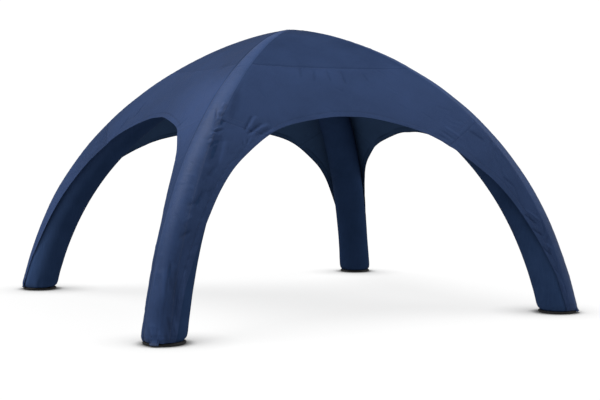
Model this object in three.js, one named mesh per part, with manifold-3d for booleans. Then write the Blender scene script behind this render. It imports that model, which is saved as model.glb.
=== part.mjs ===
import * as THREE from 'three';
import { mergeVertices } from 'three/addons/utils/BufferGeometryUtils.js';
import Module from 'manifold-3d';

const wasm = await Module();
wasm.setup();

// Inflatable tent on four arched legs that cross at the crown, millimetres, +Z up.
// The front looks along -Y and every leg stands on a flat sole at z = 0.

// Arched frame
const FOOT_HALF = 2290;
const BEAM_RADIUS = 208;
const CROWN_HEIGHT = 2967;
const CROWN_LEAN = 152;
const ARCH_P = 1.4965;
const ARCH_Q = 4.093;
const ARCH_CUT = 0.94;
const ARCH_LOW = Math.pow(1 - Math.pow(ARCH_CUT, ARCH_P), 1 / ARCH_Q);
const ARCH_SPAN = CROWN_HEIGHT / (1 - ARCH_LOW);

// Cover
const CLOTH = 2;
const COVER_RADIUS = BEAM_RADIUS + 3.8;
const STRIP_SHARE = 0.88;
const SAG_TOP = 0.055;
const SAG_FOOT = 0.14;
const SEAM_GAP = 0.25;
const COVER_ANKLE_Z = 140;
const COVER_FOOT_Z = 72;

// Feet
const SOLE_RADIUS = 209;
const SOLE_HEIGHT = 40;
const SOLE_EDGE = 10;
const TAB_HALF_WIDTH = 42;
const TAB_CLOTH = 3;

// How far down an arch the seams lie, 0 at the crown and 1 on the ground
const CROWN_SEAM = 0.415;
const SHOULDER_SEAM = 0.659;
const CROWN_ROWS = [0.002, 0.03, 0.075, 0.13, 0.19, 0.26, 0.335, CROWN_SEAM];
const PANEL_ROWS = [CROWN_SEAM, 0.457, 0.5, 0.542, 0.583, 0.623, SHOULDER_SEAM];
const LEG_ROWS = [SHOULDER_SEAM, 0.705, 0.75, 0.794, 0.833, 0.872, 0.906, 0.937, 0.962, 0.9815];

// Free lower edge of a side: down = place on the arch, share = way from the leg to the middle
const HEM = [
  { down: 0.6201, share: 1.0 },
  { down: 0.6222, share: 0.9 },
  { down: 0.6294, share: 0.8 },
  { down: 0.6402, share: 0.7 },
  { down: 0.6531, share: 0.6 },
  { down: 0.6689, share: 0.5 },
  { down: 0.6867, share: 0.42 },
  { down: 0.71, share: 0.345 },
  { down: 0.745, share: 0.257 },
  { down: 0.7845, share: 0.172 },
  { down: 0.8236, share: 0.118 },
  { down: 0.8624, share: 0.082 },
  { down: 0.8965, share: 0.054 },
  { down: 0.9284, share: 0.032 },
  { down: 0.9552, share: 0.016 },
  { down: 1.0, share: 0.0 },
];
const HEM_CORNER = 7;
const CORNER_COLUMNS = 4;

// Each half of a side hangs a little differently: how much lower its hem lies at these rows
const HEM_KNOTS = [0, 4, 7, 10, 13, 15];
const HEM_SET = {
  front: [[0.018, 0.006, -0.012, -0.003, 0.026, 0], [0.018, 0.016, 0.019, 0.035, 0.028, 0]],
  right: [[0.064, 0.056, 0.03, 0.006, 0, 0], [0.064, 0.058, 0.037, -0.016, -0.06, 0]],
  back: [[0.05, 0.046, 0.03, 0.018, 0.008, 0], [0.05, 0.045, 0.027, 0.002, 0, 0]],
  left: [[0.018, 0.018, 0.016, 0.048, 0.038, 0], [0.018, 0.01, -0.016, -0.046, -0.064, 0]],
};

// Rings of the beam's tucked end: z = height, part = share of the full radius
const BEAM_END = [
  { z: 100, part: 1.0 },
  { z: 74, part: 0.985 },
  { z: 55, part: 0.945 },
  { z: SOLE_HEIGHT + 0.3, part: 0.88 },
];

// Rows of a foot tab: z = height, out = distance beyond the cover
const TAB_ROWS = [
  { z: 96, out: 3.3 },
  { z: 76, out: 3.3 },
  { z: 60, out: 7 },
  { z: 46, out: 13 },
  { z: 32, out: 20 },
  { z: 18, out: 26 },
];

const BEAM_SIDES = 24;
const STRIP_COLUMNS = 6;
const LEG_COLUMNS = 4;
const SOLE_SIDES = 28;

const LEGS = {
  front_left: { sx: -1, sy: -1 },
  front_right: { sx: 1, sy: -1 },
  back_right: { sx: 1, sy: 1 },
  back_left: { sx: -1, sy: 1 },
};

const SIDES = {
  front: { axis: 'x', legs: ['front_left', 'front_right'], set: HEM_SET.front },
  right: { axis: 'y', legs: ['front_right', 'back_right'], set: HEM_SET.right },
  back: { axis: 'x', legs: ['back_right', 'back_left'], set: HEM_SET.back },
  left: { axis: 'y', legs: ['back_left', 'front_left'], set: HEM_SET.left },
};

const cover = new THREE.MeshStandardMaterial({ color: 0x34456b, roughness: 0.62, metalness: 0 });
const ridge = new THREE.MeshStandardMaterial({ color: 0x3a4b74, roughness: 0.6, metalness: 0 });
const beam = new THREE.MeshStandardMaterial({ color: 0x1d2a47, roughness: 0.66, metalness: 0 });
const sole = new THREE.MeshStandardMaterial({ color: 0x0d0f12, roughness: 0.75, metalness: 0 });

// Arch: place, direction and the two cross directions of a leg's centre line
function archHeight(t) {
  const fall = Math.pow(Math.abs(ARCH_CUT * t), ARCH_P);
  return ARCH_SPAN * (Math.pow(Math.max(1 - fall, 0), 1 / ARCH_Q) - ARCH_LOW);
}

function archPlace(z) {
  return Math.pow(1 - Math.pow(z / ARCH_SPAN + ARCH_LOW, ARCH_Q), 1 / ARCH_P) / ARCH_CUT;
}

function archPoint(leg, t) {
  const lean = CROWN_LEAN * Math.cos((Math.PI / 2) * t);
  return new THREE.Vector3(leg.sx * FOOT_HALF * t + lean, leg.sy * FOOT_HALF * t, archHeight(t));
}

function smooth(x, from, to) {
  const s = Math.min(Math.max((x - from) / (to - from), 0), 1);
  return s * s * (3 - 2 * s);
}

function archFrame(leg, t) {
  const step = 0.0005;
  const along = archPoint(leg, t + step).sub(archPoint(leg, t - step)).normalize();
  const point = archPoint(leg, t);
  const upright = smooth(point.z, 480, 110);
  along.lerp(new THREE.Vector3(0, 0, -1), upright).normalize();
  const out = new THREE.Vector3(leg.sx, leg.sy, 0);
  out.x -= (1 - upright) * (CROWN_LEAN / FOOT_HALF) * (Math.PI / 2) * Math.sin((Math.PI / 2) * t);
  out.normalize();
  // side points towards the front or back face of this leg
  const side = new THREE.Vector3(-out.y, out.x, 0);
  if (side.y * leg.sy < 0) {
    side.negate();
  }
  along.addScaledVector(side, -along.dot(side)).normalize();
  const crest = new THREE.Vector3().crossVectors(along, side);
  if (crest.dot(out) + crest.z < 0) {
    crest.negate();
  }
  return { point, along, side, crest };
}

function onBeam(frame, angle, radius) {
  return frame.point.clone()
    .addScaledVector(frame.crest, radius * Math.cos(angle))
    .addScaledVector(frame.side, radius * Math.sin(angle));
}

// Where the cover of one side leaves a leg, and where that leg's ridge seam lies
function sagAngle(t) {
  return SAG_TOP * smooth(t, 0, 0.3) + (SAG_FOOT - SAG_TOP) * smooth(t, 0.7, 1);
}

function contact(legName, axis, t) {
  const leg = LEGS[legName];
  const frame = archFrame(leg, t);
  const across = axis === 'x' ? new THREE.Vector3(-leg.sx, 0, 0) : new THREE.Vector3(0, -leg.sy, 0);
  const normal = new THREE.Vector3().crossVectors(frame.along, across).normalize();
  if (normal.dot(frame.crest) < 0) {
    normal.negate();
  }
  const turn = Math.sign(normal.dot(frame.side));
  const tangent = Math.acos(Math.min(normal.dot(frame.crest), 1));
  const wrap = tangent + sagAngle(t);
  const point = onBeam(frame, turn * wrap, COVER_RADIUS);
  const lead = Math.sqrt(1 - Math.pow(frame.along.dot(across), 2));
  return { frame, turn, normal, wrap, point, lead, seam: STRIP_SHARE * tangent };
}

// Point of a side's cover: run 0 and 2 are the ridge seams of its two legs, 1 is the middle
function sidePoint(side, t, run) {
  const a = contact(side.legs[0], side.axis, t);
  const b = contact(side.legs[1], side.axis, t);
  const half = a.point.distanceTo(b.point) / 2;
  const near = run <= 1 ? a : b;
  const arc = COVER_RADIUS * (near.wrap - near.seam);
  const length = Math.min(run, 2 - run) * (arc + half);
  if (length <= arc) {
    return onBeam(near.frame, near.turn * (near.seam + length / COVER_RADIUS), COVER_RADIUS);
  }
  const share = (length - arc) / half;
  const place = run <= 1 ? share : 2 - share;
  const depth = half * 0.25 * (a.lead + b.lead) * Math.tan(sagAngle(t));
  const normal = a.normal.clone().add(b.normal).normalize();
  return a.point.clone().lerp(b.point, place / 2)
    .addScaledVector(normal, -depth * place * (2 - place));
}

// The same point named by its share of the way from the leg to the middle
function runOfShare(side, legIndex, t, share) {
  const a = contact(side.legs[0], side.axis, t);
  const b = contact(side.legs[1], side.axis, t);
  const half = a.point.distanceTo(b.point) / 2;
  const near = legIndex === 0 ? a : b;
  const arc = COVER_RADIUS * (near.wrap - near.seam);
  const run = (arc + share * half) / (arc + half);
  return legIndex === 0 ? run : 2 - run;
}

// The hem of one half of a side, from its middle to the foot of the given leg
function hemOf(side, legIndex) {
  const values = side.set[legIndex];
  let lower = HEM.map((_, row) => {
    let k = 0;
    while (k < HEM_KNOTS.length - 2 && row > HEM_KNOTS[k + 1]) {
      k += 1;
    }
    const s = (row - HEM_KNOTS[k]) / (HEM_KNOTS[k + 1] - HEM_KNOTS[k]);
    return values[k] + s * (values[k + 1] - values[k]);
  });
  const last = HEM.length - 1;
  for (let pass = 0; pass < 5; pass += 1) {
    lower = lower.map((v, row) => (row % last === 0 ? v : (lower[row - 1] + 2 * v + lower[row + 1]) / 4));
  }
  return HEM.map(({ down, share }, row) => ({ down: down + lower[row], share }));
}

function hemShare(hem, t) {
  let k = 0;
  while (k < hem.length - 2 && t > hem[k + 1].down) {
    k += 1;
  }
  const s = (t - hem[k].down) / (hem[k + 1].down - hem[k].down);
  return hem[k].share + s * (hem[k + 1].share - hem[k].share);
}

// Closed sheet from rows of surface points, drawn in from its seams by the seam gap
function sheetGeometry(rows, thickness) {
  const last = rows.length - 1;
  const end = rows[0].length - 1;
  const mid = new THREE.Vector3(CROWN_LEAN / 2, 0, 500);
  const normals = rows.map((row, i) => row.map((p, j) => {
    const down = rows[Math.min(i + 1, last)][j].clone().sub(rows[Math.max(i - 1, 0)][j]);
    const over = rows[i][Math.min(j + 1, end)].clone().sub(rows[i][Math.max(j - 1, 0)]);
    const n = down.cross(over).normalize();
    return n.dot(p.clone().sub(mid)) < 0 ? n.negate() : n;
  }));
  const points = rows.map((row, i) => row.map((p, j) => {
    const q = p.clone();
    const pull = (other) => q.add(other.clone().sub(p).setLength(SEAM_GAP));
    if (i === 0) {
      pull(rows[1][j]);
    }
    if (i === last) {
      pull(rows[last - 1][j]);
    }
    if (j === 0) {
      pull(row[1]);
    }
    if (j === end) {
      pull(row[end - 1]);
    }
    return q;
  }));
  const position = [];
  for (const lift of [thickness / 2, -thickness / 2]) {
    points.forEach((row, i) => row.forEach((p, j) => {
      const q = p.clone().addScaledVector(normals[i][j], lift);
      position.push(q.x, q.y, q.z);
    }));
  }
  const wide = end + 1;
  const under = (last + 1) * wide;
  const index = [];
  const at = (i, j) => i * wide + j;
  const quad = (a, b, c, d) => index.push(a, b, c, a, c, d);
  for (let i = 0; i < last; i += 1) {
    for (let j = 0; j < end; j += 1) {
      quad(at(i, j), at(i + 1, j), at(i + 1, j + 1), at(i, j + 1));
      quad(under + at(i, j), under + at(i, j + 1), under + at(i + 1, j + 1), under + at(i + 1, j));
    }
  }
  const wall = (a, b) => quad(a, b, under + b, under + a);
  for (let j = 0; j < end; j += 1) {
    wall(at(0, j), at(0, j + 1));
    wall(at(last, j + 1), at(last, j));
  }
  for (let i = 0; i < last; i += 1) {
    wall(at(i + 1, 0), at(i, 0));
    wall(at(i, end), at(i + 1, end));
  }
  return closed(position, index);
}

// Indexed geometry that faces outwards
function closed(position, index) {
  const geometry = new THREE.BufferGeometry();
  geometry.setAttribute('position', new THREE.Float32BufferAttribute(position, 3));
  geometry.setIndex(index);
  let volume = 0;
  const corner = (k) => new THREE.Vector3().fromArray(position, 3 * index[k]);
  for (let k = 0; k < index.length; k += 3) {
    volume += corner(k).dot(corner(k + 1).cross(corner(k + 2)));
  }
  if (volume < 0) {
    for (let k = 0; k < index.length; k += 3) {
      [index[k + 1], index[k + 2]] = [index[k + 2], index[k + 1]];
    }
    geometry.setIndex(index);
  }
  return geometry;
}

function toSolid(geometry) {
  const clean = geometry.clone();
  clean.deleteAttribute('normal');
  clean.deleteAttribute('uv');
  const merged = mergeVertices(clean, 1e-4);
  return new wasm.Manifold(new wasm.Mesh({
    numProp: 3,
    vertProperties: new Float32Array(merged.attributes.position.array),
    triVerts: new Uint32Array(merged.index.array),
  }));
}

function fromSolid(solid) {
  const mesh = solid.getMesh();
  const geometry = new THREE.BufferGeometry();
  geometry.setAttribute('position', new THREE.Float32BufferAttribute(mesh.vertProperties, 3));
  geometry.setIndex(Array.from(mesh.triVerts));
  return geometry;
}

const group = new THREE.Group();
group.name = 'inflatable_x_tent';

function addPart(name, geometry, material) {
  geometry.computeVertexNormals();
  const mesh = new THREE.Mesh(geometry, material);
  mesh.name = name;
  group.add(mesh);
}

// Places down a leg from the shoulder seam to the cover's lower end
function legPlaces() {
  return [...LEG_ROWS, archPlace(COVER_ANKLE_Z), archPlace(COVER_FOOT_Z)];
}

// Air beams: filled round legs, mitred where the four of them meet under the crown
function beamGeometry(leg) {
  const places = [-0.05, ...CROWN_ROWS, ...PANEL_ROWS.slice(1), ...LEG_ROWS.slice(1)];
  places.push(archPlace(COVER_ANKLE_Z));
  const rings = places.map((t) => {
    const frame = archFrame(leg, t);
    return { frame, radius: BEAM_RADIUS };
  });
  for (const { z, part } of BEAM_END) {
    rings.push({ frame: archFrame(leg, archPlace(z)), radius: BEAM_RADIUS * part });
  }
  const position = [];
  for (const { frame, radius } of rings) {
    for (let k = 0; k < BEAM_SIDES; k += 1) {
      const p = onBeam(frame, (2 * Math.PI * k) / BEAM_SIDES, radius);
      position.push(p.x, p.y, p.z);
    }
  }
  const index = [];
  const at = (i, k) => i * BEAM_SIDES + (k % BEAM_SIDES);
  for (let i = 0; i < rings.length - 1; i += 1) {
    for (let k = 0; k < BEAM_SIDES; k += 1) {
      index.push(at(i, k), at(i + 1, k), at(i + 1, k + 1), at(i, k), at(i + 1, k + 1), at(i, k + 1));
    }
  }
  for (let k = 1; k < BEAM_SIDES - 1; k += 1) {
    index.push(at(0, 0), at(0, k), at(0, k + 1));
    index.push(at(rings.length - 1, 0), at(rings.length - 1, k + 1), at(rings.length - 1, k));
  }
  const reach = 6000;
  const quarter = new THREE.BoxGeometry(reach, reach, reach);
  const gap = 0.2;
  quarter.translate(
    CROWN_LEAN + leg.sx * (reach / 2 + gap),
    leg.sy * (reach / 2 + gap),
    CROWN_HEIGHT / 2,
  );
  return fromSolid(toSolid(closed(position, index)).intersect(toSolid(quarter)));
}

// Ridge strips: along the top of each leg between its two ridge seams, down to the foot
function stripGeometry(name) {
  const places = [...CROWN_ROWS, ...PANEL_ROWS.slice(1), ...legPlaces().slice(1)];
  const rows = places.map((t) => {
    const x = contact(name, 'x', t);
    const y = contact(name, 'y', t);
    const from = y.turn * y.seam;
    const to = x.turn * x.seam;
    const row = [];
    for (let k = 0; k <= STRIP_COLUMNS; k += 1) {
      row.push(onBeam(x.frame, from + ((to - from) * k) / STRIP_COLUMNS, COVER_RADIUS));
    }
    return row;
  });
  return sheetGeometry(rows, CLOTH);
}

// Lower boundary of a side panel: shoulder seam, hem and shoulder seam, left to right
function panelFoot(side) {
  const half = (legIndex) => {
    const hem = hemOf(side, legIndex);
    const corner = hem[HEM_CORNER];
    const list = [];
    const run = runOfShare(side, legIndex, corner.down, corner.share);
    const start = legIndex === 0 ? 0 : 2;
    for (let k = 0; k < CORNER_COLUMNS; k += 1) {
      const s = k / CORNER_COLUMNS;
      list.push({ t: SHOULDER_SEAM + s * (corner.down - SHOULDER_SEAM), run: start + s * (run - start) });
    }
    for (let k = HEM_CORNER; k > 0; k -= 1) {
      list.push({ t: hem[k].down, run: runOfShare(side, legIndex, hem[k].down, hem[k].share) });
    }
    return list;
  };
  return [...half(0), { t: hemOf(side, 0)[0].down, run: 1 }, ...half(1).reverse()];
}

// The crown seam carries one point for each column of the panel below it
function crownRuns(side) {
  const foot = panelFoot(side);
  const n = foot.length - 1;
  return foot.map((f, j) => 0.5 * f.run + 0.5 * (2 * j) / n);
}

function panelGeometry(side) {
  const foot = panelFoot(side);
  const top = crownRuns(side);
  const span = SHOULDER_SEAM - CROWN_SEAM;
  const rows = PANEL_ROWS.map((place) => {
    const s = (place - CROWN_SEAM) / span;
    return foot.map((f, j) => {
      const t = CROWN_SEAM + s * (f.t - CROWN_SEAM);
      return sidePoint(side, t, top[j] + s * (f.run - top[j]));
    });
  });
  return sheetGeometry(rows, CLOTH);
}

function crownGeometry(side) {
  const top = crownRuns(side);
  const rows = CROWN_ROWS.map((t) => top.map((run) => sidePoint(side, t, run)));
  return sheetGeometry(rows, CLOTH);
}

// Leg panels: from the shoulder seam down to the foot, between ridge seam and hem
function legPanelGeometry(side, legIndex) {
  const hem = hemOf(side, legIndex);
  const corner = hem[HEM_CORNER];
  const start = legIndex === 0 ? 0 : 2;
  const lastPlace = archPlace(COVER_FOOT_Z);
  const ridgePlaces = legPlaces();
  const hemPlaces = ridgePlaces.map((t) => {
    const s = (t - SHOULDER_SEAM) / (lastPlace - SHOULDER_SEAM);
    return corner.down + s * (lastPlace - corner.down);
  });
  const rows = ridgePlaces.map((ridgeT, i) => {
    const hemT = hemPlaces[i];
    const run = runOfShare(side, legIndex, hemT, hemShare(hem, hemT));
    const row = [];
    for (let k = 0; k <= LEG_COLUMNS; k += 1) {
      const s = k / LEG_COLUMNS;
      row.push(sidePoint(side, ridgeT + s * (hemT - ridgeT), start + s * (run - start)));
    }
    return row;
  });
  return sheetGeometry(rows, CLOTH);
}

// Soles: flat black pads under the legs
function soleGeometry(leg) {
  const profile = [
    new THREE.Vector2(0, 0),
    new THREE.Vector2(SOLE_RADIUS - SOLE_EDGE, 0),
    new THREE.Vector2(SOLE_RADIUS, SOLE_EDGE),
    new THREE.Vector2(SOLE_RADIUS, SOLE_HEIGHT - SOLE_EDGE / 2),
    new THREE.Vector2(SOLE_RADIUS - SOLE_EDGE / 2, SOLE_HEIGHT),
    new THREE.Vector2(0, SOLE_HEIGHT),
  ];
  const geometry = new THREE.LatheGeometry(profile, SOLE_SIDES);
  geometry.rotateX(Math.PI / 2);
  const foot = archPoint(leg, archPlace(SOLE_HEIGHT));
  geometry.translate(foot.x, foot.y, 0);
  return fromSolid(toSolid(geometry));
}

// Foot tabs: loose ends of the ridge strips that turn outwards over the ground
function tabGeometry(leg) {
  const columns = 4;
  const rows = TAB_ROWS.map(({ z, out }) => {
    const frame = archFrame(leg, archPlace(z));
    const radius = COVER_RADIUS + out;
    const row = [];
    for (let k = 0; k <= columns; k += 1) {
      const angle = (TAB_HALF_WIDTH / radius) * (1 - (2 * k) / columns);
      row.push(onBeam(frame, angle, radius));
    }
    return row;
  });
  return sheetGeometry(rows, TAB_CLOTH);
}

for (const [name, leg] of Object.entries(LEGS)) {
  addPart(`air_beam_${name}`, beamGeometry(leg), beam);
  addPart(`ridge_strip_${name}`, stripGeometry(name), ridge);
  addPart(`foot_sole_${name}`, soleGeometry(leg), sole);
  addPart(`foot_tab_${name}`, tabGeometry(leg), ridge);
}
for (const [name, side] of Object.entries(SIDES)) {
  addPart(`crown_panel_${name}`, crownGeometry(side), cover);
  addPart(`side_panel_${name}`, panelGeometry(side), cover);
  side.legs.forEach((leg, k) => addPart(`leg_panel_${leg}_${name}`, legPanelGeometry(side, k), cover));
}

export default group;
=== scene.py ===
# %% [markdown]
# An inflatable event tent, made cloth by cloth
# The tent stands on four air-filled legs that arch up and cross at the crown. A cover of sewn navy
# panels is pulled tight over them and leaves an arched opening on each side. This lesson rebuilds the
# sewn pieces on top of the plain solids that the frame brings along, in metres, with +Z up and the
# front opening looking along -Y.

# %% Load the frame
import math

import bmesh
import bpy
import numpy as np
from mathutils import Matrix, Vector


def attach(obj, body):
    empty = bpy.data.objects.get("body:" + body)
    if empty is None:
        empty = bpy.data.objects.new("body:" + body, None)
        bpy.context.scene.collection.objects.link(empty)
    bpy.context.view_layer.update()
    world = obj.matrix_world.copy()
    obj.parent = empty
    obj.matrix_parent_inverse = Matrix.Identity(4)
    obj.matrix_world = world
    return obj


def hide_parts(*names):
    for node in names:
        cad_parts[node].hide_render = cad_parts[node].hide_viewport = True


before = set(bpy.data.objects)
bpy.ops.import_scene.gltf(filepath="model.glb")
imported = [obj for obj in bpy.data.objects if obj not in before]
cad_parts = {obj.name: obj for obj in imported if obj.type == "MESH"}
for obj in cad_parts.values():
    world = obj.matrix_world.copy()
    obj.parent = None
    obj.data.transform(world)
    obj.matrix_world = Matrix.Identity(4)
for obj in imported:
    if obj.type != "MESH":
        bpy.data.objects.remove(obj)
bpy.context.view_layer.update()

scene = bpy.context.scene
print("solids in the frame:", len(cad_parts))

# %% [markdown]
# The camera stands low in front of the left corner, about fourteen metres away, and looks slightly
# down, so the near leg comes towards the viewer and the back leg shows through the front opening.
# A long lens keeps the four legs in proportion. Its place was found by fitting the arches' outline.

# %% Camera
EYE = (-6.1237, -12.8128, 1.9140)
LOOK_RIGHT = math.radians(26.505)
LOOK_DOWN = math.radians(2.968)
LENS_MM, SENSOR_MM = 72.368, 36


def new_object(name, data):
    thing = bpy.data.objects.new(name, data)
    scene.collection.objects.link(thing)
    return thing


camera_data = bpy.data.cameras.new("viewer")
camera_data.sensor_width = SENSOR_MM
camera_data.lens = LENS_MM
camera = new_object("viewer", camera_data)
camera.location = EYE
camera.rotation_euler = (math.radians(90) - LOOK_DOWN, 0, -LOOK_RIGHT)
scene.camera = camera
scene.view_settings.view_transform = "Standard"
print("camera at", EYE)

# %% [markdown]
# A studio for a dark cloth object starts with a pale floor. It glows a little by itself, so the
# tent's shadow on it stays faint, and two occlusion nodes paint shadow into that glow near the feet:
# one reaches far, and one hugs the soles. It sends no light back up, because the underside of the
# cover has to stay dark. The small functions here are used by all the finishes below.

# %% Floor
FLOOR_HALF, FLOOR_GLOW, FLOOR_GREY = 120.0, 0.80, 0.22
WIDE_SHADOW, TIGHT_SHADOW = 0.55, 0.13


def set_inputs(tree, node, inputs):
    """Links the sockets among the inputs and sets the plain values."""
    for key, value in inputs.items():
        if isinstance(value, bpy.types.NodeSocket):
            tree.links.new(value, node.inputs[key])
        else:
            node.inputs[key].default_value = value


def node_in(tree, kind, inputs=None, **settings):
    node = tree.nodes.new(kind)
    for key, value in settings.items():
        setattr(node, key, value)
    set_inputs(tree, node, inputs or {})
    return node


def math_node(tree, operation, *values):
    return node_in(tree, "ShaderNodeMath", dict(enumerate(values)), operation=operation).outputs[0]


def mapped(tree, value, low, high, to_low=0.0, to_high=1.0):
    inputs = {"Value": value, "From Min": low, "From Max": high, "To Min": to_low, "To Max": to_high}
    return node_in(tree, "ShaderNodeMapRange", inputs).outputs["Result"]


def openness(tree, reach):
    return node_in(tree, "ShaderNodeAmbientOcclusion", {"Distance": reach}, samples=8).outputs["AO"]


def new_finish(name):
    material = bpy.data.materials.new(name)
    material.use_nodes = True
    return material, material.node_tree, material.node_tree.nodes["Principled BSDF"]


floor_mesh = bpy.data.meshes.new("studio_floor")
corners = [(-1, -1), (1, -1), (1, 1), (-1, 1)]
floor_mesh.from_pydata([(x * FLOOR_HALF, y * FLOOR_HALF, 0) for x, y in corners], [], [(0, 1, 2, 3)])
floor = new_object("studio_floor", floor_mesh)
floor.visible_diffuse = False
floor.visible_glossy = False

pale, tree, shader = new_finish("pale_floor")
# Painted shadow: the occlusion nodes darken the floor's glow near the feet.
around_feet = mapped(tree, openness(tree, WIDE_SHADOW), 0.25, 0.95, 0.12, FLOOR_GLOW)
at_feet = mapped(tree, openness(tree, TIGHT_SHADOW), 0.45, 0.92)
glow = math_node(tree, "MULTIPLY", around_feet, at_feet)
set_inputs(tree, shader, {
    "Base Color": (FLOOR_GREY, FLOOR_GREY, FLOOR_GREY, 1), "Roughness": 0.9,
    "Specular IOR Level": 0.0, "Emission Color": (1, 1, 1, 1), "Emission Strength": glow})
floor_mesh.materials.append(pale)
print("floor:", 2 * FLOOR_HALF, "m wide")

# %% [markdown]
# The light is a band all around the horizon and two wide lamps, a strong one high on the left and a
# weak one on the right. The camera itself sees plain white behind the tent.

# %% Light
SKY_PLACES, SKY_TONES = (0.44, 0.53, 1.0), (0.38, 0.46, 0.03)  # below, at the horizon, overhead
BACKDROP = 1.05
LAMPS = {  # where the light comes from, strength, width in degrees
    "left_lamp": ((-0.37, 0.21, 0.91), 2.2, 45),
    "right_lamp": ((0.58, -0.27, 0.77), 1.04, 45)}


def tone_ramp(tree, value, tones, places=(0.0, 0.5, 1.0)):
    """Three tones, each at its place on the way from 0 to 1."""
    ramp = node_in(tree, "ShaderNodeValToRGB", {"Fac": value})
    stops = ramp.color_ramp.elements
    stops.new(0.5)
    for stop, tone, place in zip(stops, tones, places):
        stop.position = place
        stop.color = (*tone, 1)
    return ramp.outputs["Color"]


sky = bpy.data.worlds.new("studio_sky")
sky.use_nodes = True
scene.world = sky
tree = sky.node_tree
tree.nodes.clear()
around = node_in(tree, "ShaderNodeTexCoord")
height = node_in(tree, "ShaderNodeSeparateXYZ", {"Vector": around.outputs["Generated"]})
level = mapped(tree, height.outputs["Z"], -1.0, 1.0)
band = tone_ramp(tree, level, [(v, v, v) for v in SKY_TONES], SKY_PLACES)
lit = node_in(tree, "ShaderNodeBackground", {"Color": band})
seen = node_in(tree, "ShaderNodeBackground", {"Color": (1, 1, 1, 1), "Strength": BACKDROP})
ray = node_in(tree, "ShaderNodeLightPath")
both = node_in(tree, "ShaderNodeMixShader",
               {0: ray.outputs["Is Camera Ray"], 1: lit.outputs[0], 2: seen.outputs[0]})
node_in(tree, "ShaderNodeOutputWorld", {"Surface": both.outputs[0]})

for name, (source, strength, width) in LAMPS.items():
    lamp_data = bpy.data.lights.new(name, "SUN")
    lamp_data.energy = strength
    lamp_data.angle = math.radians(width)
    lamp = new_object(name, lamp_data)
    lamp.rotation_euler = Vector(source).to_track_quat("Z", "Y").to_euler()
print("lamps:", list(LAMPS))

# %% [markdown]
# The cover is coated polyester. Its colour is one navy, but the eye reads cloth from small things: a
# tight plain weave, threads that are a little thicker here and there, patches that took the coating
# differently, and dark lines drawn along the seams and hems. The creases carry painted light and shade:
# their crests are painted lighter and their troughs darker. One function makes all the cloth finishes,
# and each takes its own range of blues. The weave follows the cloth's own map in metres, and three
# layers read the fold, shade and seam values that each sheet carries; fold and shade are painted light
# and shade.

# %% Cloth finishes
WEAVE_MM = 1.6
SLUB_SCALE = (150, 7, 7)
PATCH_WEIGHT, PATCH_BASE = 0.34, 0.33
# The fold layer paints light on fold crests and shade in troughs; the shade layer paints light and
# shade over whole parts.
TONE_LAYERS = {  # how much each layer lightens the cloth, and the value that leaves it as it is
    "slub": (0.16, 0.5), "weave": (0.03, 0.0), "fold": (0.13, 0.0), "shade": (0.22, 0.0),
    "seam": (-0.42, 0.0)}
WEAVE_RELIEF, SLUB_RELIEF = 0.10, 0.16


def noise_in(tree, where, scale, detail, **more):
    inputs = {"Vector": where, "Scale": scale, "Detail": detail, **more}
    return node_in(tree, "ShaderNodeTexNoise", inputs).outputs["Fac"]


def cloth_finish(name, tones, roughness, gloss, follows_map=True):
    material, tree, shader = new_finish(name)
    place = node_in(tree, "ShaderNodeTexCoord").outputs
    where = place["UV" if follows_map else "Object"]
    turn = 2 * math.pi / (WEAVE_MM / 1000)
    turns = node_in(tree, "ShaderNodeVectorMath", {0: where, 1: (turn, turn, turn)},
                    operation="MULTIPLY")
    part = node_in(tree, "ShaderNodeSeparateXYZ", {"Vector": turns.outputs[0]}).outputs
    over = math_node(tree, "SINE", part["X"])
    under = math_node(tree, "SINE", part["Y" if follows_map else "Z"])
    weave = math_node(tree, "MULTIPLY", over, under)
    slub_place = node_in(tree, "ShaderNodeMapping", {"Vector": where, "Scale": SLUB_SCALE})
    slub = noise_in(tree, slub_place.outputs[0], 1.0, 2.0)
    patch = noise_in(tree, place["Object"], 3.2, 4.0, Roughness=0.55)
    crumple = noise_in(tree, place["Object"], 16.0, 3.0, Distortion=0.6)

    layers = {"slub": slub, "weave": weave}
    for key in ("fold", "shade", "seam"):
        layers[key] = node_in(tree, "ShaderNodeAttribute", attribute_name=key).outputs["Fac"]
    tone = math_node(tree, "MULTIPLY_ADD", patch, PATCH_WEIGHT, PATCH_BASE)
    for key, (weight, middle) in TONE_LAYERS.items():
        term = math_node(tree, "SUBTRACT", layers[key], middle)
        tone = math_node(tree, "ADD", tone, math_node(tree, "MULTIPLY", term, weight))

    relief = math_node(tree, "ADD", math_node(tree, "MULTIPLY", weave, WEAVE_RELIEF),
                       math_node(tree, "MULTIPLY", slub, SLUB_RELIEF))
    relief = math_node(tree, "ADD", relief, crumple)
    bump = node_in(tree, "ShaderNodeBump", {"Height": relief, "Strength": 0.30, "Distance": 0.006})
    set_inputs(tree, shader, {
        "Base Color": tone_ramp(tree, tone, tones), "Specular IOR Level": gloss,
        "Roughness": mapped(tree, patch, 0.3, 0.7, roughness - 0.05, roughness + 0.06),
        "Normal": bump.outputs["Normal"]})
    return material


COVER_TONES = [(0.0100, 0.0225, 0.0600), (0.0392, 0.0692, 0.1650), (0.0595, 0.1025, 0.2460)]
# The ridge tones are lighter than the cover's: a painted highlight along the ridges, which FOOT_DARKER
# takes back towards the feet.
RIDGE_TONES = [(0.0115, 0.0270, 0.0740), (0.0385, 0.0785, 0.2060), (0.0650, 0.1180, 0.2830)]
BACK_TONES = [(0.0120, 0.0270, 0.0620), (0.0382, 0.0752, 0.1575), (0.0540, 0.1010, 0.2080)]
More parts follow.
